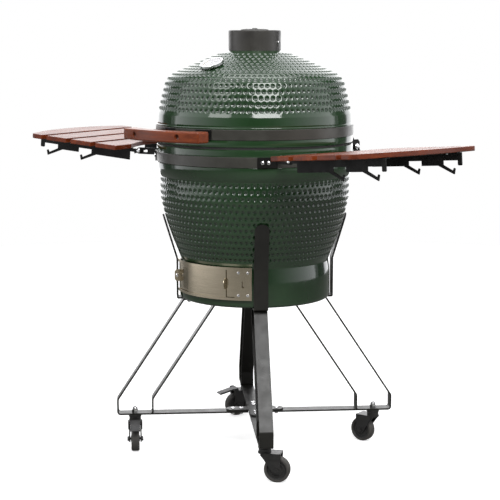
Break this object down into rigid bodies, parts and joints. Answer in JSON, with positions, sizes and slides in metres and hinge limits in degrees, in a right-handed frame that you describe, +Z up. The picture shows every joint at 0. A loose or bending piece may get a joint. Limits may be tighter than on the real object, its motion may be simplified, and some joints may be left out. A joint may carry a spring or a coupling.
{
  "type": "kamado ceramic grill",
  "caption": "Free-standing kamado charcoal grill: dimpled ceramic body and hinged dome, curved wooden handle, folding slatted side tables, draft door, loop-leg cart on swivel casters.",
  "frame": {"origin": "centre of the bounding box on the floor, below the axis of the round ceramic body", "axes": "+Z up, front with the handle and draft door faces -Y, the side tables spread along X"},
  "size_m": [1.4476, 0.833, 1.2885],
  "materials": {
    "glaze": "glossy deep green glaze over a dimpled wall",
    "fire_clay": "matte unglazed fire clay",
    "cast_iron": "matte cast",
    "rod_steel": "satin rods",
    "felt": "matte felt",
    "band": "satin dark grey powder coat",
    "black_steel": "satin black powder coat",
    "chrome": "polished",
    "spring_steel": "satin black",
    "handle_wood": "varnished reddish hardwood",
    "table_wood": "varnished reddish hardwood",
    "dial": "printed matte face",
    "glass": "clear",
    "needle": "matte black",
    "vent_iron": "satin charcoal",
    "stainless": "brushed",
    "caster_steel": "satin black",
    "caster_tread": "matte",
    "black_plastic": "matte"
  },
  "bodies": {
    "body": {"base_shell": "glaze", "firebox": "fire_clay", "fire_ring": "fire_clay", "charcoal_grate": "cast_iron", "cooking_grate": "rod_steel", "base_gasket": "felt", "base_band": "band", "hinge_base_bracket": "black_steel", "hinge_pin": "chrome", "hinge_springs": "spring_steel", "base_bolts": "chrome", "door_frame": "stainless", "door_rivets": "chrome", "holders": "black_steel", "cross_plate": "black_steel", "cart_bolts": "chrome", "caster_stems": "caster_steel", "table_brackets": "black_steel", "leg_fl": "black_steel", "leg_fr": "black_steel", "leg_rl": "black_steel", "leg_rr": "black_steel"},
    "lid": {"lid_dome": "glaze", "lid_gasket": "felt", "lid_band": "band", "lid_bolts": "chrome", "hinge_lid_bracket": "black_steel", "handle_bar": "handle_wood", "handle_brackets": "black_steel", "thermo_case": "chrome", "thermo_dial": "dial", "thermo_glass": "glass", "vent_base": "vent_iron", "vent_screw": "chrome"},
    "thermo_needle": {"thermo_needle": "needle"},
    "vent_cap": {"vent_cap": "vent_iron"},
    "door_slide": {"door_slide": "stainless"},
    "door_screen": {"door_screen": "stainless", "door_pull_screw": "chrome"},
    "table_left": {"table_slats_left": "table_wood", "table_rails_left": "black_steel", "table_screws_left": "chrome"},
    "table_right": {"table_slats_right": "table_wood", "table_rails_right": "black_steel", "table_screws_right": "chrome"},
    "swivel_fl": {"fork_fl": "caster_steel", "axle_fl": "caster_steel"},
    "wheel_fl": {"wheel_fl": "caster_tread"},
    "swivel_fr": {"fork_fr": "caster_steel", "axle_fr": "caster_steel"},
    "wheel_fr": {"wheel_fr": "caster_tread"},
    "swivel_rl": {"fork_rl": "caster_steel", "axle_rl": "caster_steel"},
    "wheel_rl": {"wheel_rl": "caster_tread"},
    "swivel_rr": {"fork_rr": "caster_steel", "axle_rr": "caster_steel"},
    "wheel_rr": {"wheel_rr": "caster_tread"},
    "brake_rl": {"brake_rl": "black_plastic"},
    "brake_fl": {"brake_fl": "black_plastic"}
  },
  "joints": [
    {"name": "lid_hinge", "type": "hinge", "parent": "body", "child": "lid", "pos_m": [0, 0.342, 0.921], "axis": [-1, 0, 0], "range_deg": [0, 70]},
    {"name": "needle", "type": "hinge", "parent": "lid", "child": "thermo_needle", "pos_m": [0, -0.1897, 1.17945], "axis": [0, -0.3809, 0.9246], "range_deg": [-86, 184]},
    {"name": "vent_turn", "type": "hinge", "parent": "lid", "child": "vent_cap", "pos_m": [0, 0, 1.2823], "axis": [0, 0, 1], "range_deg": [-14, 22]},
    {"name": "draft_slide", "type": "hinge", "parent": "body", "child": "door_slide", "pos_m": [0, 0, 0.549], "axis": [0, 0, 1], "range_deg": [-10, 6.5]},
    {"name": "screen_slide", "type": "hinge", "parent": "body", "child": "door_screen", "pos_m": [0, 0, 0.549], "axis": [0, 0, 1], "range_deg": [0, 6]},
    {"name": "table_right_fold", "type": "hinge", "parent": "body", "child": "table_right", "pos_m": [0.32124, -0.05549, 0.9175], "axis": [0.1702, 0.9854, 0], "range_deg": [0, 95]},
    {"name": "table_left_fold", "type": "hinge", "parent": "body", "child": "table_left", "pos_m": [-0.32124, -0.05549, 0.9175], "axis": [0.1702, -0.9854, 0], "range_deg": [0, 95]},
    {"name": "swivel_fl", "type": "hinge", "parent": "body", "child": "swivel_fl", "pos_m": [-0.26304, -0.26304, 0.09], "axis": [0, 0, 1], "continuous": true},
    {"name": "roll_fl", "type": "hinge", "parent": "swivel_fl", "child": "wheel_fl", "pos_m": [-0.23741, -0.28832, 0.038], "axis": [-0.7022, -0.712, 0], "continuous": true},
    {"name": "brake_fl", "type": "hinge", "parent": "swivel_fl", "child": "brake_fl", "pos_m": [-0.23243, -0.29324, 0.092], "axis": [0.7022, 0.712, 0], "range_deg": [0, 8]},
    {"name": "swivel_fr", "type": "hinge", "parent": "body", "child": "swivel_fr", "pos_m": [0.26304, -0.26304, 0.09], "axis": [0, 0, 1], "continuous": true},
    {"name": "roll_fr", "type": "hinge", "parent": "swivel_fr", "child": "wheel_fr", "pos_m": [0.29453, -0.24559, 0.038], "axis": [0.4848, -0.8746, 0], "continuous": true},
    {"name": "swivel_rl", "type": "hinge", "parent": "body", "child": "swivel_rl", "pos_m": [-0.26304, 0.26304, 0.09], "axis": [0, 0, 1], "continuous": true},
    {"name": "roll_rl", "type": "hinge", "parent": "swivel_rl", "child": "wheel_rl", "pos_m": [-0.27911, 0.23083, 0.038], "axis": [-0.8949, 0.4462, 0], "continuous": true},
    {"name": "brake_rl", "type": "hinge", "parent": "swivel_rl", "child": "brake_rl", "pos_m": [-0.28223, 0.22456, 0.092], "axis": [0.8949, -0.4462, 0], "range_deg": [0, 8]},
    {"name": "swivel_rr", "type": "hinge", "parent": "body", "child": "swivel_rr", "pos_m": [0.26304, 0.26304, 0.09], "axis": [0, 0, 1], "continuous": true},
    {"name": "roll_rr", "type": "hinge", "parent": "swivel_rr", "child": "wheel_rr", "pos_m": [0.22712, 0.26078, 0.038], "axis": [-0.0628, 0.998, 0], "continuous": true}
  ]
}
